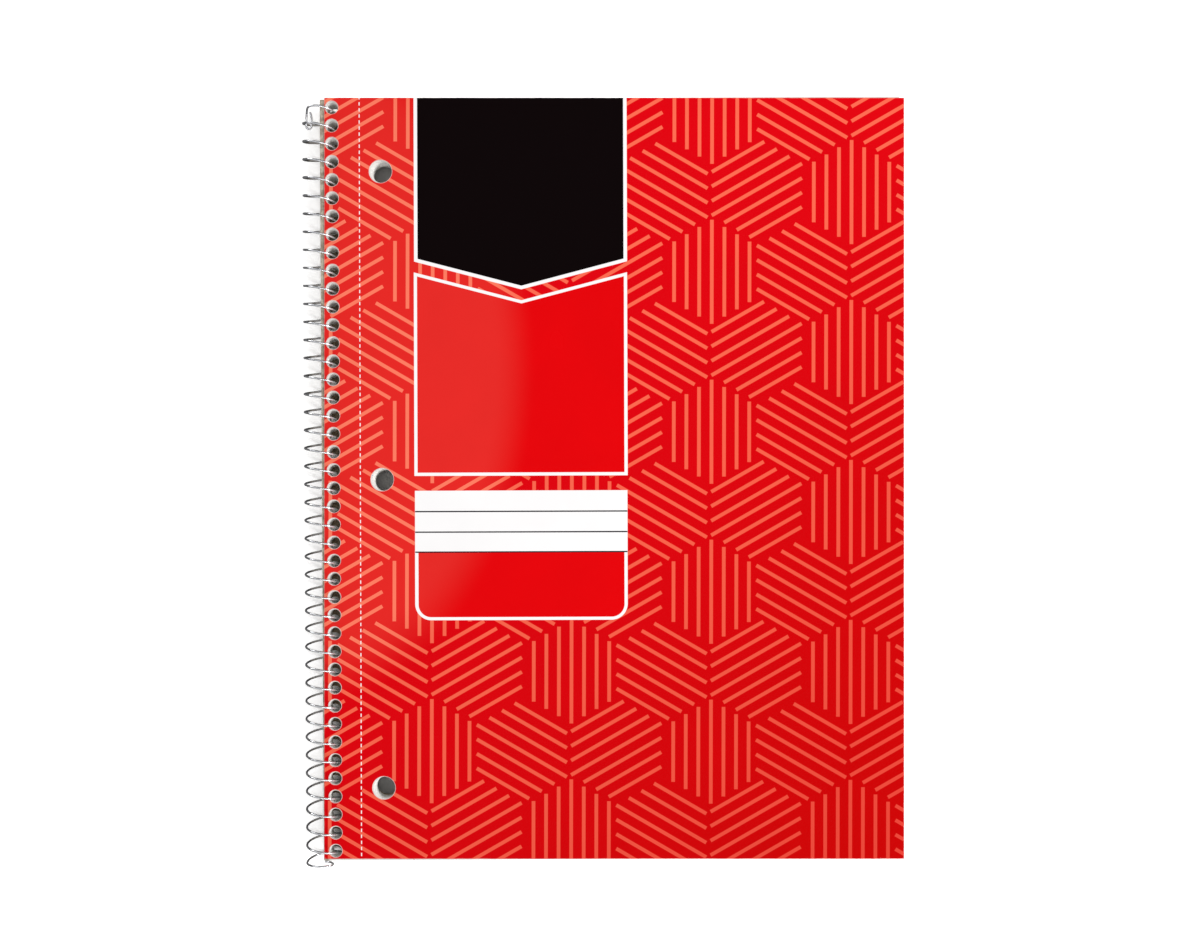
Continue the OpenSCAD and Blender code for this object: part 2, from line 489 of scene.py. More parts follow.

# Painted shade: the print is painted darker along the diagonal, from y - x = 110 to y - x = -270, and a
# painted sheen lightens it near the left edge
PAINTED_SHADE_SPAN = (110.0, -270.0)
SHEEN_CENTRE = (-110.0, 40.0, 0.0)
SHEEN_REACH = (77.0, 112.0, 1000.0)
SHEEN_ENDS = (1.08, 0.88)
LABEL_LEAN = math.radians(0.19)
HATCH_LEAN = math.radians(-0.11)
LATTICE = (97.75, 56.02)
BUNDLES = (
    (0.0, (34.04, 16.37)),
    (math.radians(-60), (49.76, -10.79)),
    (math.radians(60), (65.6, 16.52)),
)
FOLD = -32.3
SLOPE = 0.262
PANELS = (
    # left, right, bottom, top, bottom slope, top slope, corner, fill
    (-69.85, 4.76, 66.29, 140.0, SLOPE, 0.0, 0.15, "white"),
    (-68.62, 3.53, 67.55, 140.0, SLOPE, 0.0, 0.15, "black"),
    (-69.96, 4.74, 1.05, 62.47, 0.0, SLOPE, 0.15, "white"),
    (-68.85, 3.62, 2.17, 61.36, 0.0, SLOPE, 0.15, "red"),
    (-69.83, 4.6, -49.51, -25.0, 0.0, 0.0, 5.7, "white"),
    (-68.65, 3.5, -48.45, -25.0, 0.0, 0.0, 4.5, "red"),
    (-69.81, 4.62, -25.65, -4.15, 0.0, 0.0, 0.15, "white"),
)
LINE_HEIGHTS = (-11.45, -18.65, -25.65)
LINE_WIDTH = 0.48
LINE_FADE = 0.1
DASH_COLUMN = -88.9
DASH_PERIOD = 2.12
DASH_LENGTH = 1.15
DASH_WIDTH = 0.34
INK_DEPTH = 0.06


# %% The printed card's material
def hatch(place):
    """All the bundles of stripes: three directions, each on the cells and on the cells' corners."""
    mask = 0.0
    for turn, centre in BUNDLES:
        for shift in (0.0, 0.5):
            values = {
                "Place": place, "Cell": (LATTICE[0], LATTICE[1], 0), "Turn": turn,
                "Centre": (centre[0] + shift * LATTICE[0], centre[1] + shift * LATTICE[1], 0),
            }
            mask = sums("MAXIMUM", mask, use_group(place.tree, STRIPE_BUNDLES, values))
    return mask


def dashed_line(x, y, column, width, length, period):
    """How far inside a dash of a line along Y a place lies."""
    from_dash = abs(sums("WRAP", y, period / 2, -period / 2))
    return sums("MINIMUM", width / 2 - abs(x - column), length / 2 - from_dash)


def writing_lines(x, y):
    """The thin dark lines of the white box."""
    left, right_side = PANELS[-1][:2]
    nearest = 1000.0
    for height in LINE_HEIGHTS:
        nearest = sums("MINIMUM", nearest, abs(y - height))
    in_box = ramp(x, left, left + LINE_FADE) * ramp(x, right_side, right_side - LINE_FADE)
    return ramp(LINE_WIDTH / 2 - nearest, -PRINT_EDGE, PRINT_EDGE) * in_box


def printed_card():
    material, tree, shader, place = new_material("red_printed_card")
    outline = in_mm_from(place, cover_middle, COVER_TURN)
    printed = in_mm_from(place, cover_middle, COVER_TURN + LABEL_LEAN)
    woven = in_mm_from(place, cover_middle, COVER_TURN + HATCH_LEAN)
    row = in_mm_from(place)
    x, y, _ = parts_of(outline)
    # Painted shade: the print is painted darker towards the foot, along the diagonal
    painted_shade = ramp(y - x, *PAINTED_SHADE_SPAN)
    # Painted sheen: a lighter patch near the left edge, mixed into the ground, the stripes and the red label
    from_patch = vectors("DIVIDE", vectors("SUBTRACT", outline, SHEEN_CENTRE), SHEEN_REACH)
    painted_sheen = ramp(vectors("LENGTH", from_patch), *SHEEN_ENDS)
    ground = mixed(painted_sheen, mixed(painted_shade, GROUND_HEAD, GROUND_FOOT), GROUND_SHEEN)
    stripe = mixed(painted_sheen, mixed(painted_shade, STRIPE_HEAD, STRIPE_FOOT), STRIPE_SHEEN)
    fills = {"white": LABEL_WHITE, "black": LABEL_BLACK, "red": mixed(painted_sheen, LABEL_RED, LABEL_RED_SHEEN)}
    ink = mixed(hatch(woven), ground, stripe)
    for left, right_side, bottom, top, bottom_slope, top_slope, corner, fill in PANELS:
        values = {
            "Place": printed, "Left": left, "Right": right_side, "Bottom": bottom, "Top": top, "Fold": FOLD,
            "Bottom Slope": bottom_slope, "Top Slope": top_slope, "Corner": corner,
        }
        ink = mixed(use_group(tree, LABEL_PANEL, values), ink, fills[fill])
    x, y, _ = parts_of(printed)
    ink = mixed(writing_lines(x, y), ink, WRITING_LINE)
    in_dash = dashed_line(x, y, DASH_COLUMN, DASH_WIDTH, DASH_LENGTH, DASH_PERIOD)
    ink = mixed(ramp(in_dash, -PRINT_EDGE, PRINT_EDGE), ink, LABEL_WHITE)

    fibres, clouds = use_group(tree, FIBRE, {"Place": row, "Fibre Size": 0.6, "Cloud Size": 18.0})
    worn = use_group(tree, RUBBED_EDGES, {"Place": outline, "Reach": 0.45, "Amount": 0.3})
    bare = sums("MAXIMUM", both_rims(row, FRONT_HOLES, 0.17) * 0.75, worn)
    face = mixed(bare, scaled(ink, span(clouds, 0.95, 1.05)), CARD_CORE)

    _, _, height = parts_of(row)
    on_top = ramp(height, cover_top / MM - INK_DEPTH * 2, cover_top / MM - INK_DEPTH)
    core = mixed(fibres, CARD_FIBRE, CARD_CORE)
    matt = sums("MAXIMUM", 1.0 - on_top, bare)
    rough = sums("MULTIPLY_ADD", matt, 0.4, span(clouds, 0.2, 0.3), clamp=True)
    waves = sums("MULTIPLY_ADD", clouds, 1.5, fibres * 0.12)
    dress(shader, mixed(on_top, core, face), rough, 0.05, waves, 0.05 * MM, 0.35)
    return material


PRINTED_CARD = printed_card()

# %% [markdown]
# ## Ruled paper
# The first and last sheets are the only ones whose faces show, when a cover is opened. They carry pale blue
# lines 7.1 mm apart, a red margin line, and the row of fine slits along which they tear off. The strip along
# the spine, which shows beside the cover, carries painted shade, a mottled beige grey. The edges of the sheets
# are the same paper without the ruling, each sheet with a tone of its own, and are painted darker towards the
# spine with the same painted shade.

# %% Ruled paper and sheet edges
PAPER = colour(244, 243, 238)
PAPER_EDGE = colour(250, 247, 244)
# Painted shade: the beige grey of the strip along the spine and of the sheet edges' spine side, with paler
# mottles
SPINE_SHADE = colour(146, 131, 112)
SPINE_SHADE_PALE = colour(196, 188, 168)
RULE_BLUE = colour(150, 184, 222)
MARGIN_RED = colour(226, 118, 128)
RULE_PITCH = 7.1
RULE_WIDTH = 0.25
RULE_HEAD = 32.0
MARGIN_FROM_SPINE = 31.75
SLIT_PERIOD = 1.4
SLIT_LENGTH = 0.9
SLIT_WIDTH = 0.12
# Width in millimetres of the painted shade along the spine
SPINE_SHADE_WIDTH = 2.4
PAPER_FIBRE = colour(228, 226, 218)
SLIT_SHADE = colour(140, 136, 132)
SHEETS = 100
HALF_WIDTH, HALF_HEIGHT = SHEET[0] / MM / 2, SHEET[1] / MM / 2

page_middle = middle("page_block")
block_thick = thickness("page_block")


def ruled_paper():
    material, tree, shader, place = new_material("ruled_paper")
    row = in_mm_from(place)
    x, y, _ = parts_of(in_mm_from(place, page_middle))
    first_rule = HALF_HEIGHT - RULE_HEAD
    from_rule = abs(sums("WRAP", y - first_rule, RULE_PITCH / 2, -RULE_PITCH / 2))
    below_head = ramp(y, first_rule + 1.0, first_rule + 0.8)
    rules = ramp(from_rule, RULE_WIDTH / 2 + 0.05, RULE_WIDTH / 2 - 0.05) * below_head
    slit_x = DASH_COLUMN + (cover_middle.x - page_middle.x) / MM
    rules = rules * ramp(x, slit_x + 1.0, slit_x + 1.2)
    from_margin = abs(x - (MARGIN_FROM_SPINE - HALF_WIDTH))
    margin = ramp(from_margin, RULE_WIDTH / 2 + 0.07, RULE_WIDTH / 2 - 0.03)
    slits = ramp(dashed_line(x, y, slit_x, SLIT_WIDTH, SLIT_LENGTH, SLIT_PERIOD), -0.05, 0.05)

    fibres, _ = use_group(tree, FIBRE, {"Place": row, "Fibre Size": 0.45})
    # Painted shade: the strip along the spine, painted a mottled beige grey
    strip = ramp(x + HALF_WIDTH, SPINE_SHADE_WIDTH, SPINE_SHADE_WIDTH - 0.9)
    shade_mottle = ramp(noise(row, 0.45, detail=4.0, rough=0.7), 0.4, 0.62)
    paper = mixed(fibres * 0.35, PAPER, PAPER_FIBRE)
    for mask, over in (
        (rules * 0.85, RULE_BLUE),
        (margin * 0.85, MARGIN_RED),
        (slits * 0.6, SLIT_SHADE),
        (strip * 0.92, mixed(shade_mottle, SPINE_SHADE, SPINE_SHADE_PALE)),
    ):
        paper = mixed(mask, paper, over)
    dress(shader, paper, span(fibres, 0.72, 0.92), 0.25, fibres - slits * 2.0, 0.03 * MM, 0.5)
    return material


def sheet_edges():
    material, tree, shader, place = new_material("sheet_edges")
    row = in_mm_from(place)
    _, _, height = parts_of(row)
    fibres, clouds = use_group(tree, FIBRE, {"Place": row, "Fibre Size": 0.3, "Cloud Size": 6.0})
    sheet_number = sums("FLOOR", height * (SHEETS / (block_thick / MM)))
    each = node(tree, "TexWhiteNoise", [("W", sheet_number)], noise_dimensions="1D")
    x, _, _ = parts_of(in_mm_from(place, page_middle))
    # Painted shade on the spine side of the sheet edges
    spine = ramp(x + HALF_WIDTH, SPINE_SHADE_WIDTH, SPINE_SHADE_WIDTH - 1.0)
    edge = mixed(spine * 0.45, mixed(each * 0.5 + clouds * 0.5, PAPER_EDGE, PAPER), SPINE_SHADE)
    dress(shader, edge, span(fibres, 0.8, 0.95), 0.2, fibres, 0.04 * MM, 0.6)
    return material


RULED_PAPER = ruled_paper()
SHEET_EDGES = sheet_edges()

# %% [markdown]
# ## Grey-brown board
# The back cover is plain recycled board. What makes it look like board and not like brown paint is its
# furnish: long pale and dark fibres that lie every way, with a few specks of old print between them.

# %% Board
BOARD = colour(172, 152, 126)
BOARD_DARK = colour(136, 116, 92)
BOARD_PALE = colour(206, 190, 166)
SPECK = colour(74, 66, 62)


def back_board():
    material, tree, shader, place = new_material("back_board")
    row = in_mm_from(place)
    outline = in_mm_from(place, middle("back_cover"))
    values = {"Place": row, "Fibre Size": 0.9, "Cloud Size": 22.0, "Stretch": 0.45}
    fibres, clouds = use_group(tree, FIBRE, values)
    dot_size = ramp(noise(row, 0.4), 0.55, 0.8, 0.0, 0.16)
    from_dot = node(tree, "TexVoronoi", [("Vector", row), ("Scale", 0.28)], "Distance")
    specks = ramp(from_dot - dot_size, 0.03, -0.03)
    worn = use_group(tree, RUBBED_EDGES, {"Place": outline, "Reach": 0.9, "Amount": 0.4})
    board = mixed(ramp(fibres, 0.35, 0.65), BOARD_DARK, BOARD)
    for mask, over in (
        (ramp(fibres, 0.6, 0.78, 0.0, 0.7), BOARD_PALE),
        (clouds * 0.35, BOARD_PALE),
        (specks * 0.7, SPECK),
        (sums("MAXIMUM", worn, both_rims(row, BACK_HOLES, 0.25) * 0.6), BOARD_PALE),
    ):
        board = mixed(mask, board, over)
    dress(shader, board, span(fibres, 0.7, 0.9), 0.3, fibres, 0.06 * MM, 0.6)
    return material


BACK_BOARD = back_board()

# %% [markdown]
# ## Bright wire
# The coil is zinc-plated steel wire. Drawing it through a die leaves faint lines along its length, and the
# plating has dull patches. The wire's own attributes tell how far along and how far round a place is, so
# the lines follow every bend.

# %% Wire
PLATED = colour(232, 233, 236)
PLATED_DULL = colour(190, 190, 196)
DRAWN_LINE = colour(130, 131, 136)


def bright_wire():
    material, tree, shader, place = new_material("bright_wire")
    along = node(tree, "Attribute", out="Fac", attribute_name="along")
    around = node(tree, "Attribute", out="Fac", attribute_name="around")
    lines = noise(as_vector(along * 120.0, around * 9.0), 1.0, rough=0.6)
    dull = ramp(noise(in_mm_from(place), 0.8, detail=4.0), 0.48, 0.72)
    metal = mixed(lines * 0.25, mixed(dull, PLATED, PLATED_DULL), DRAWN_LINE)
    shader.inputs["Metallic"].default_value = 1.0
    rough = sums("MULTIPLY_ADD", dull, 0.12, span(lines, 0.12, 0.22))
    dress(shader, metal, rough, 0.5, lines, 0.01 * MM, 0.5)
    return material


BRIGHT_WIRE = bright_wire()

# %% [markdown]
# ## A punched sheet, by Geometry Nodes
# Both covers and the two outer sheets are the same kind of thing: a thin rectangle, 42 small holes and three
# large ones, with edges that the knife and the punch have rounded a little. One tree makes all of them. It
# lays out every outline as a curve: the rectangle, and circles instanced along two rows. The faces are those
# outlines filled in, and the walls are a rounded profile swept along them. Merging the seams closes it.

# %% Geometry Nodes: the punched sheet
CIRCLE_STEPS = 32
WALL_POINTS = 6
SEAM = 0.002 * MM
SHEET_INPUTS = [
    *floats("Underside", "Width", "Height", "Thickness"),
    *floats("Hole Radius", "Hole Pitch", "Ring Radius", "Ring Pitch"),
    ("Middle", "Vector", (0, 0, 0)), ("First Hole", "Vector", (0, 0, 0)), ("First Ring", "Vector", (0, 0, 0)),
    ("Hole Count", "Int", 1), ("Ring Count", "Int", 1), ("Material", "Material", None),
]


def profile_of(tree, count, positions):
    """An open profile of a few points. A sweep lays its -Y along +Z."""
    line = shape(tree, "MeshLine", [("Count", count)])
    shaped = shape(tree, "SetPosition", [("Geometry", line), ("Position", positions)])
    return shape(tree, "MeshToCurve", [("Mesh", shaped)])


def rounded_wall_profile(tree, thick, rounding):
    """The profile of a wall between two faces, with both its edges rounded."""
    index = shape(tree, "InputIndex")
    upper = sums("GREATER_THAN", index, (WALL_POINTS - 1) / 2)
    angle = sums("MULTIPLY_ADD", index - upper, math.pi / (WALL_POINTS - 2), -math.pi / 2)
    flank = thick * 0.5 - rounding
    lift = sums("MULTIPLY_ADD", span(upper, -1.0, 1.0), flank, sums("SINE", angle) * rounding)
    return profile_of(tree, WALL_POINTS, as_vector(sums("COSINE", angle) * rounding, lift - thick * 0.5))


def swept(tree, curves, profile):
    """A profile swept along level curves."""
    level = shape(tree, "SetCurveNormal", [("Curve", curves)], mode="Z_UP")
    return shape(tree, "CurveToMesh", [("Curve", level), ("Profile Curve", profile)])


def hole_row(tree, source, kind, rounding=0.0):
    """A row of circles along +Y, for the coil's holes or the rings', cut loose from their instances."""
    step = as_vector(y=source(kind + " Pitch"))
    count, first = source(kind + " Count"), source("First " + kind)
    inputs = [("Count", count), ("Start Location", first), ("Offset", step)]
    centres = shape(tree, "MeshLine", inputs)
    inputs = [("Resolution", CIRCLE_STEPS), ("Radius", source(kind + " Radius") + rounding)]
    circle = shape(tree, "CurvePrimitiveCircle", inputs)
    holes = shape(tree, "InstanceOnPoints", [("Points", centres), ("Instance", circle)])
    return shape(tree, "RealizeInstances", [("Geometry", holes)])


def reversed_curves(tree, curves):
    return shape(tree, "ReverseCurve", [("Curve", curves)])


def moved(tree, geometry, by):
    return shape(tree, "Transform", [("Geometry", geometry), ("Translation", by)])


def shaded(tree, geometry, smooth):
    return shape(tree, "SetShadeSmooth", [("Geometry", geometry), ("Shade Smooth", smooth)])


def joined(tree, *geometries):
    made = tree.nodes.new("GeometryNodeJoinGeometry")
    for geometry in reversed(geometries):
        feed(made.inputs[0], geometry)
    return Output(made.outputs[0])


def end_tree(tree, source, sink, geometry):
    """Makes every instance real and gives the geometry its material."""
    real = shape(tree, "RealizeInstances", [("Geometry", geometry)])
    final = shape(tree, "SetMaterial", [("Geometry", real), ("Material", source("Material"))])
    feed(sink["Geometry"], final)


def punched_sheet_tree():
    inputs = SHEET_INPUTS + floats("Turn", "Rounding")
    tree, source, sink = group_tree("punched sheet", "GeometryNodeTree", inputs, [("Geometry", "Geometry")])
    thick, rounding = source("Thickness"), source("Rounding")
    inset = rounding * 2.0
    inputs = [("Width", source("Width") - inset), ("Height", source("Height") - inset)]
    rectangle = shape(tree, "CurvePrimitiveQuadrilateral", inputs)
    turn = as_vector(z=source("Turn"))
    inputs = [("Geometry", rectangle), ("Translation", source("Middle")), ("Rotation", turn)]
    outline = shape(tree, "Transform", inputs)
    holes = joined(tree, hole_row(tree, source, "Hole", rounding), hole_row(tree, source, "Ring", rounding))
    lower = shape(tree, "FillCurve", [("Curve", joined(tree, outline, holes))])
    upper = moved(tree, lower, as_vector(z=thick))
    under = shape(tree, "FlipFaces", [("Mesh", lower)])
    paths = joined(tree, outline, reversed_curves(tree, holes))
    walls = swept(tree, paths, rounded_wall_profile(tree, thick, rounding))
    faces = shaded(tree, joined(tree, upper, under), False)
    inputs = [("Geometry", joined(tree, faces, shaded(tree, walls, True))), ("Distance", SEAM)]
    closed = shape(tree, "MergeByDistance", inputs)
    end_tree(tree, source, sink, moved(tree, closed, as_vector(z=source("Underside"))))
    return tree


def grown(name, tree, values, start=None):
    """A plain mesh object made by a Geometry Nodes tree, with its modifier gone."""
    piece = placed(name, start or bpy.data.meshes.new(name))
    modifier = piece.modifiers.new(tree.name, "NODES")
    modifier.node_group = tree
    for item in tree.interface.items_tree:
        if item.item_type == "SOCKET" and item.in_out == "INPUT" and item.name in values:
            modifier[item.identifier] = values[item.name]
    evaluated = piece.evaluated_get(bpy.context.evaluated_depsgraph_get())
    mesh = bpy.data.meshes.new_from_object(evaluated)
    mesh.name = name
    mesh.materials.clear()
    mesh.materials.append(values["Material"])
    mesh.polygons.foreach_set("material_index", [0] * len(mesh.polygons))
    bpy.data.objects.remove(piece)
    triangles = sum(len(face.vertices) - 2 for face in mesh.polygons)
    print(name, "has", triangles, "triangles of", mesh.materials[0].name)
    return placed(name, mesh)


PUNCHED_SHEET = punched_sheet_tree()

# %% [markdown]
# ## The covers
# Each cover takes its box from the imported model, and its two rows of holes from the coil's axis and from the
# ring binder's two pairs. The front cover's outline is turned against its rows, as the photograph shows.

# %% The two covers
CARD_ROUNDING = 0.09 * MM
BOARD_ROUNDING = 0.14 * MM


def sheet_values(centre, thick, turn, rounding, holes, material):
    """What the trees for sheets ask for, holes being how far the column stands from the coil's axis."""
    return {
        "Middle": Vector((centre.x, centre.y, 0)), "Underside": centre.z,
        "Width": SHEET[0], "Height": SHEET[1], "Thickness": thick,
        "Turn": turn, "Rounding": rounding, "Material": material,
        "First Hole": Vector((COIL_AXIS.x + holes.x, COIL_AXIS.y + holes.y - ROW_HALF, 0)),
        "Hole Radius": HOLE_RADIUS, "Hole Pitch": HOLE_PITCH, "Hole Count": HOLE_COUNT,
        "First Ring": Vector((RING_CENTRE.x, RING_CENTRE.y - RING_SPACING * (RING_COUNT - 1) / 2, 0)),
        "Ring Radius": RING_RADIUS, "Ring Pitch": RING_SPACING, "Ring Count": RING_COUNT,
    }


def cover(name, node_name, turn, rounding, holes, material, body):
    values = sheet_values(middle(node_name), thickness(node_name), turn, rounding, holes, material)
    piece = grown(name, PUNCHED_SHEET, values)
    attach(piece, body)
    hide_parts(node_name)


cover(
    "printed_cover", "front_cover", COVER_TURN, CARD_ROUNDING, FRONT_HOLES, PRINTED_CARD,
    "front",
)
cover("board_cover", "back_cover", 0.0, BOARD_ROUNDING, BACK_HOLES, BACK_BOARD, "back")

# %% [markdown]
# ## The block of sheets
# A hundred sheets never lie quite true: each edge stands a hair out or in, and the holes' walls are ribbed
# by the same hairs. So the block is a stack of 98 thin rims, each moved at random by up to a tenth of a
# millimetre, under a whole first sheet and over a whole last one. A rim is the outline of the sheet or of a
# hole with a narrow lip, because nothing deeper can be seen. The small holes make do with 24 layers. The wire
# curves away below the first sheet, and each sheet has slid a part of the way along it, so the walls of the
# holes lean.

# %% Geometry Nodes: a stack of rims
RIM_LIP = 0.4 * MM
SHEET_STRAY = 0.09 * MM
RIM_STEPS = 16
HOLE_LAYERS = 24


def stack_of_rims_tree():
    inputs = SHEET_INPUTS + [("Sheets", "Int", 1), ("Hole Layers", "Int", 1), ("Seed", "Int", 0)]
    inputs += floats("Stray", "Lip", "Axis Height", "Coil Radius")
    inputs += floats("Top Reach", "Top Climb", "Follow X", "Follow Y")
    tree, source, sink = group_tree("stack of rims", "GeometryNodeTree", inputs, [("Geometry", "Geometry")])

    def slide():
        """How far a layer has slid under the top sheet, to lie along the wire."""
        _, _, height = parts_of(shape(tree, "InputPosition"))
        lift = height - source("Axis Height")
        reach = sums("SQRT", source("Coil Radius") ** 2.0 - lift ** 2.0)
        climb = sums("ARCTAN2", lift, reach) * (source("Hole Pitch") / (2 * math.pi))
        outward = (reach - source("Top Reach")) * source("Follow X")
        return as_vector(outward, (climb - source("Top Climb")) * source("Follow Y"))

    def rims(loops, layers):
        """The loops swept with a lipped profile, once for each layer of the stack, each strayed at random."""
        layer = source("Thickness") / layers
        index = shape(tree, "InputIndex")
        at_end = sums("GREATER_THAN", abs(index - 1.5), 1.0)
        upper = sums("GREATER_THAN", index, 1.5)
        corner = as_vector(at_end * -source("Lip"), (upper - 1.0) * layer)
        rim = swept(tree, loops, profile_of(tree, 4, corner))
        stray = source("Stray")
        inputs = [("Seed", source("Seed")), (0, as_vector(-stray, -stray)), (1, as_vector(stray, stray))]
        random = node(tree, "RandomValue", inputs, family="FunctionNode", data_type="FLOAT_VECTOR")
        inputs = [("Count", layers), ("Offset", as_vector(z=layer))]
        stack = shape(tree, "MeshLine", inputs)
        inputs = [("Geometry", stack), ("Offset", vectors("ADD", random, slide()))]
        strayed = shape(tree, "SetPosition", inputs)
        return shape(tree, "InstanceOnPoints", [("Points", strayed), ("Instance", rim)])

    inputs = [("Width", source("Width")), ("Height", source("Height"))]
    outline = moved(tree, shape(tree, "CurvePrimitiveQuadrilateral", inputs), source("Middle"))
    rings = reversed_curves(tree, hole_row(tree, source, "Ring"))
    inputs = [("Curve", hole_row(tree, source, "Hole")), ("Count", RIM_STEPS)]
    holes = reversed_curves(tree, shape(tree, "ResampleCurve", inputs))
    sheets = rims(joined(tree, outline, rings), source("Sheets"))
    stacks = joined(tree, sheets, rims(holes, source("Hole Layers")))
    end_tree(tree, source, sink, moved(tree, stacks, as_vector(z=source("Underside"))))
    return tree


# %% The first sheet, the last sheet and the sheets between them
sheet_thick = block_thick / SHEETS
SHEET_ROUNDING = 0.01 * MM
BLOCK_RISE = Vector((0.2 * MM, 0.5 * MM, 0))
RING_SLIP = Vector((0.45 * MM, 0, 0))
FOLLOW_X, FOLLOW_Y = 0.3, 0.32


def wire_at(height):
    """How far right of the coil's axis the wire stands at a height, and how far it has climbed there."""
    lift = height - COIL_AXIS.z
    reach = math.sqrt(COIL_RADIUS ** 2 - lift ** 2)
    return reach, math.atan2(lift, reach) / (2 * math.pi) * HOLE_PITCH


sheet_top = page_middle.z + block_thick
top_reach, top_climb = wire_at(sheet_top)


def seat_on_wire(height):
    """How far a sheet at a height has slid under the first one, to lie along the wire."""
    reach, climb = wire_at(height)
    return Vector(((reach - top_reach) * FOLLOW_X, (climb - top_climb) * FOLLOW_Y, 0))


between_middle = page_middle + BLOCK_RISE + Vector((0, 0, sheet_thick))
between = sheet_values(between_middle, block_thick - 2 * sheet_thick, 0.0, 0.0, PAGE_HOLES, SHEET_EDGES)
between.update({
    "Sheets": SHEETS - 2, "Hole Layers": HOLE_LAYERS, "Stray": SHEET_STRAY, "Lip": RIM_LIP, "Seed": 7,
    "Axis Height": COIL_AXIS.z - between_middle.z, "Coil Radius": COIL_RADIUS, "Top Reach": top_reach,
    "Top Climb": top_climb, "Follow X": FOLLOW_X, "Follow Y": FOLLOW_Y,
})
between["First Ring"] += RING_SLIP
block = grown("sheet_stack", stack_of_rims_tree(), between)
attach(block, "sheets")
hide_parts("page_block")

for name, underside in (("first_sheet", sheet_top - sheet_thick), ("last_sheet", page_middle.z)):
    seat = seat_on_wire(underside)
    place = page_middle + BLOCK_RISE + seat
    place.z = underside
    values = sheet_values(place, sheet_thick, 0.0, SHEET_ROUNDING, PAGE_HOLES + seat, RULED_PAPER)
    values["First Ring"] += seat + RING_SLIP
    sheet = grown(name, PUNCHED_SHEET, values)
    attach(sheet, "sheets")

# %% [markdown]
# ## The wire coil
# The wire is one curve: a hairpin at the head of the page, 42 turns that climb one hole at a time, a last
# flat turn past the end of the covers, and an end curled in beside the stack. It is left-handed. The turns
# follow a formula, the two bent ends are a few bend points joined by a smooth curve, and Geometry Nodes
# sweep a round section along all of it and store how far along and round each point lies.

# %% The wire's path
TURN_STEPS = 48
BEND_STEPS = 9
LOW_END = -305
HIGH_END = 360 * (HOLE_COUNT - 1) + 80
HOOK_INSET = 0.9 * MM
HOOK_WIDTH = 1.8 * MM
# The smooth curve of a bent end begins this many degrees inside the coil
LEAD = 18


def coil_point(angle):
    """A point of the coil, counted in degrees from the end hole's right-hand side at the foot of the page."""
    climb = max(HOLE_PITCH * angle / 360, -END_DROP) - ROW_HALF
    turn = math.radians(angle)
    return Vector((COIL_RADIUS * math.cos(turn), climb, COIL_RADIUS * math.sin(turn)))


def smooth_run(points):
    """Points of a smooth curve through the bend points, from the second to the last but one."""
    run = []
    for a, b, c, d in zip(points, points[1:], points[2:], points[3:]):
        for step in range(BEND_STEPS):
            t = step / BEND_STEPS
            square, cube = 2 * a - 5 * b + 4 * c - d, 3 * b - a - 3 * c + d
            run.append((2 * b + (c - a) * t + square * t * t + cube * t ** 3) / 2)
    return run


def hairpin():
    """The end at the head of the page: it drops inside the turns and doubles back round the next turn."""
    over = (
        (-0.17, 0.23, 0.985), (-0.4, 0.22, 0.905), (-0.55, 0.19, 0.76),
        (-0.67, 0.14, 0.465), (-0.765, 0.05, 0.155),
    )
    strokes = (
        (0, -0.36), (0, -0.61), (0.15, -0.71), (0.5, -0.76), (0.85, -0.71), (1, -0.61), (1, -0.36), (1, -0.1),
        (0.78, 0.17),
    )
    x = -COIL_RADIUS + HOOK_INSET
    bends = [coil_point(HIGH_END - LEAD), coil_point(HIGH_END)]
    bends += [Vector((COIL_RADIUS * a, ROW_HALF + HOLE_PITCH * b, COIL_RADIUS * c)) for a, b, c in over]
    bends.append(Vector((x + HOOK_WIDTH * 0.05, ROW_HALF - HOLE_PITCH * 0.13, -COIL_RADIUS * 0.04)))
    bends += [Vector((x + HOOK_WIDTH * a, ROW_HALF + HOLE_PITCH * b, -WIRE_RADIUS)) for a, b in strokes]
    return smooth_run(bends + [2 * bends[-1] - bends[-2]]) + [bends[-1]]


def curl():
    """The end at the foot of the page, curled into the coil beside the stack's end."""
    y = -ROW_HALF - END_DROP
    inside = ((0.05, 0), (0.32, 0.05), (0.55, 0.25), (0.66, 0.52))
    bends = [Vector((COIL_RADIUS * x, y, COIL_RADIUS * z)) for x, z in inside]
    bends += [coil_point(LOW_END), coil_point(LOW_END + LEAD)]
    return smooth_run([2 * bends[0] - bends[1]] + bends)


turn_points = math.ceil((HIGH_END - LOW_END) / 360 * TURN_STEPS)
turns = [coil_point(LOW_END + 360 * step / TURN_STEPS) for step in range(turn_points)]
wire_points = [COIL_AXIS + point for point in curl() + turns + hairpin()]


# %% Geometry Nodes: a round wire along a path
WIRE_SIDES = 12


def wire_tree():
    inputs = [("Geometry", "Geometry", None), ("Sides", "Int", 3), ("Material", "Material", None)]
    outputs = [("Geometry", "Geometry")]
    tree, source, sink = group_tree("round wire", "GeometryNodeTree", inputs + floats("Radius"), outputs)

    def stored(curve, name, measure):
        """The curve with its own length or its own factor stored on its points."""
        value = shape(tree, "SplineParameter", out=measure)
        inputs = [("Geometry", curve), ("Name", name), ("Value", value)]
        return shape(tree, "StoreNamedAttribute", inputs, data_type="FLOAT", domain="POINT")

    path = stored(shape(tree, "MeshToCurve", [("Mesh", source("Geometry"))]), "along", "Length")
    inputs = [("Resolution", source("Sides")), ("Radius", source("Radius"))]
    section = stored(shape(tree, "CurvePrimitiveCircle", inputs), "around", "Factor")
    inputs = [("Curve", path), ("Profile Curve", section), ("Fill Caps", True)]
    end_tree(tree, source, sink, shaded(tree, shape(tree, "CurveToMesh", inputs), True))
    return tree


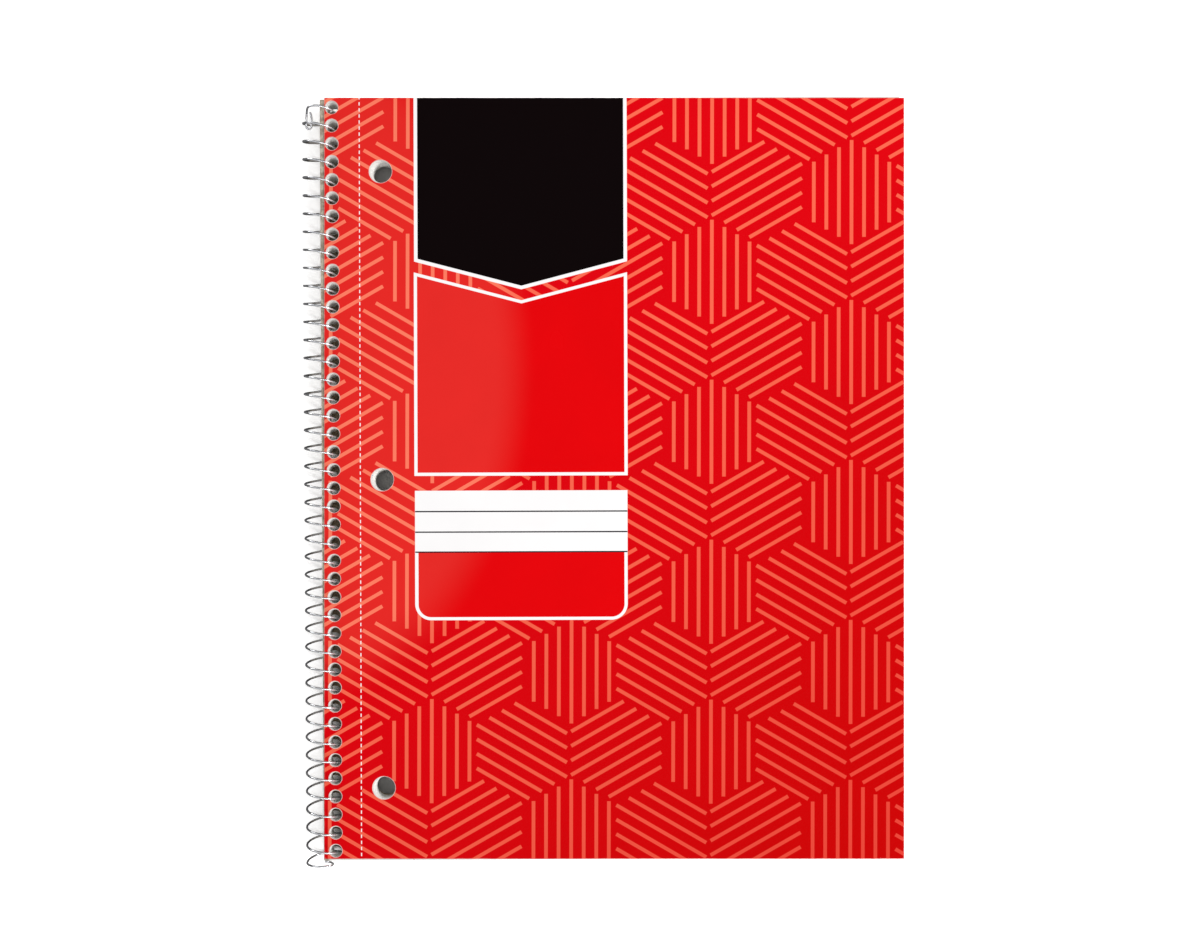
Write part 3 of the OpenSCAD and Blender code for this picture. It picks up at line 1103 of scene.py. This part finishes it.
path_mesh = bpy.data.meshes.new("wire_path")
path_mesh.from_pydata(wire_points, [(i, i + 1) for i in range(len(wire_points) - 1)], [])
wire_values = {"Radius": WIRE_RADIUS, "Sides": WIRE_SIDES, "Material": BRIGHT_WIRE}
wire = grown("coil_wire", wire_tree(), wire_values, start=path_mesh)
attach(wire, "sheets")
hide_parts("wire_coil")

# %% [markdown]
# ## Floor, world and lamps
# The floor is plain and pale. For the camera alone it is brighter, the more so far away, so that it comes out
# white where it is lit and still holds the notebook's shadow, and under the notebook it carries painted shade,
# darker where the ring holes look down on it. The world is an even fill for all that is matt. What shines
# mirrors a pale ceiling and a horizon that is pale on one side only, so that light and dark run along the
# wire.
# Three soft lamps stand to the right, at the foot of the page, and low beyond its head on the left.

# %% The floor
FLOOR_ALBEDO = 0.8
FLOOR_SEEN = 1.8
FLOOR_FAR = 2.7
# Painted shade: the floor's level for the camera under the notebook, below its albedo
FLOOR_UNDER = 0.62
FLOOR_MIRRORED = 0.2
# Millimetres beside the notebook: where the floor grows brighter, and where its painted shade under the
# notebook ends
BRIGHTENS = (250.0, 1100.0)
UNDER_EDGE = (-6.0, 0.0)


def floor_material():
    material, tree, shader, place = new_material("pale_floor")
    tree.nodes.remove(shader)
    output = next(n for n in tree.nodes if n.type == "OUTPUT_MATERIAL")
    x, y, _ = parts_of(in_mm_from(place, page_middle))
    beside = sums("MAXIMUM", abs(x) - HALF_WIDTH, abs(y) - HALF_HEIGHT)
    away = ramp(beside, *BRIGHTENS, FLOOR_SEEN, FLOOR_FAR)
    # Painted shade under the notebook, where the ring holes look down on the floor
    shown = ramp(beside, *UNDER_EDGE, FLOOR_UNDER, away)
    level = span(node(tree, "LightPath", out="Is Camera Ray"), FLOOR_ALBEDO, shown)
    mirrored = node(tree, "LightPath", out="Is Glossy Ray")
    level = sums("MULTIPLY_ADD", mirrored, FLOOR_MIRRORED - FLOOR_ALBEDO, level)
    pale = node(tree, "CombineColor", enumerate((level, level, level)))
    feed(output.inputs[0], node(tree, "BsdfDiffuse", [("Color", pale)]))
    return material


FLOOR_HALF = 4.0
floor_mesh = bpy.data.meshes.new("floor")
corners = [(-1, -1), (1, -1), (1, 1), (-1, 1)]
floor_mesh.from_pydata([(x * FLOOR_HALF, y * FLOOR_HALF, 0) for x, y in corners], [], [(0, 1, 2, 3)])
floor_mesh.materials.append(floor_material())
floor = placed("floor", floor_mesh)


# %% The world and the lamps
FILL_LEVEL = 0.4
CEILING = 0.6
HORIZON_DARK = 0.05
HORIZON_PALE = 0.9
PALE_SIDE = (0.45, -0.9, 0.0)


def studio_world():
    """An even fill for what is matt, and a ceiling and a horizon for what shines."""
    world = bpy.data.worlds.new("studio")
    bpy.context.scene.world = world
    world.use_nodes = True
    world.cycles.sampling_method = "NONE"
    tree = world.node_tree
    tree.nodes.clear()
    output = tree.nodes.new("ShaderNodeOutputWorld")
    direction = node(tree, "TexCoord", out="Generated")
    _, _, height = parts_of(direction)
    toward = vectors("DOT_PRODUCT", direction, PALE_SIDE)
    horizon = ramp(toward, -0.3, 0.4, HORIZON_DARK, HORIZON_PALE)
    backdrop = span(ramp(height, 0.3, 0.65), horizon, CEILING)
    glossy, through, seen = (
        node(tree, "LightPath", out=kind)
        for kind in ("Is Glossy Ray", "Is Transmission Ray", "Is Camera Ray")
    )
    level = sums("MAXIMUM", span(sums("MAXIMUM", glossy, through), FILL_LEVEL, backdrop), seen)
    inputs = [("Color", (1, 1, 1, 1)), ("Strength", level)]
    feed(output.inputs[0], node(tree, "Background", inputs))


def soft_lamp(name, place, size, power):
    """A rectangular lamp that looks at the notebook, size being its width and its height."""
    data = bpy.data.lights.new(name, "AREA")
    data.shape = "RECTANGLE"
    data.size, data.size_y = size
    data.energy = power
    lamp = placed(name, data)
    lamp.location = place
    lamp.rotation_euler = (-Vector(place)).to_track_quat("-Z", "Y").to_euler()


studio_world()
soft_lamp("right_lamp", (0.95, 0.0, 0.72), (1.2, 0.25), 10.4)
soft_lamp("foot_lamp", (0.15, -0.95, 0.9), (0.9, 0.2), 4.2)
soft_lamp("low_fill", (-0.95, 0.85, 0.4), (1.0, 0.3), 5.6)

# %% The colours as they are written
bpy.context.scene.view_settings.view_transform = "Standard"
